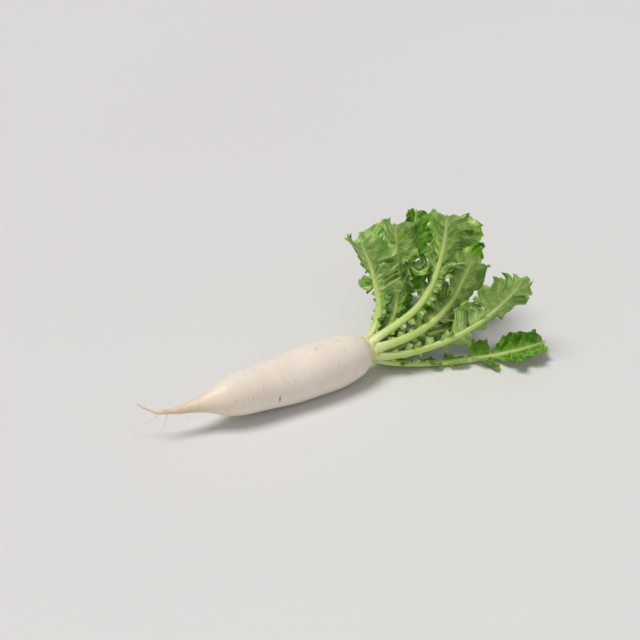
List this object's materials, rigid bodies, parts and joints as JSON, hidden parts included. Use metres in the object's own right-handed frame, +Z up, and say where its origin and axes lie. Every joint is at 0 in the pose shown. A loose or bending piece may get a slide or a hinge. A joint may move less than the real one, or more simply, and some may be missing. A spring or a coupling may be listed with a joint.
{
  "type": "daikon radish",
  "caption": "Long white radish root with a kinked, thread-thin tail, lying on its belly, with a fan of lobed green leaves on thick pale stalks.",
  "frame": {"origin": "centre of the small flat under the root's fattest part, where it bears on the table", "axes": "+X along the root from its tail to its crown and leaves, +Z up from the table, +Y to the left when looking along +X"},
  "size_m": [0.4739, 0.229, 0.1804],
  "materials": {
    "root_skin": "smooth waxy skin",
    "crown": "matt",
    "stalk": "satin",
    "blade": "matt leaf"
  },
  "bodies": {
    "root": {"root": "root_skin", "crown": "crown", "leaf_floor_stalk": "stalk", "leaf_floor_blade": "blade", "leaf_sweep_stalk": "stalk", "leaf_sweep_blade": "blade", "leaf_arc_stalk": "stalk", "leaf_arc_blade": "blade", "leaf_tall_stalk": "stalk", "leaf_tall_blade": "blade", "leaf_left_stalk": "stalk", "leaf_left_blade": "blade", "leaf_rear_stalk": "stalk", "leaf_rear_blade": "blade", "leaf_flop_stalk": "stalk", "leaf_flop_blade": "blade", "leaf_under_stalk": "stalk", "leaf_under_blade": "blade", "leaf_slim_stalk": "stalk", "leaf_slim_blade": "blade", "leaf_mid_stalk": "stalk", "leaf_mid_blade": "blade", "leaf_arch_stalk": "stalk", "leaf_arch_blade": "blade", "leaf_inner_stalk": "stalk", "leaf_inner_blade": "blade"}
  },
  "joints": []
}
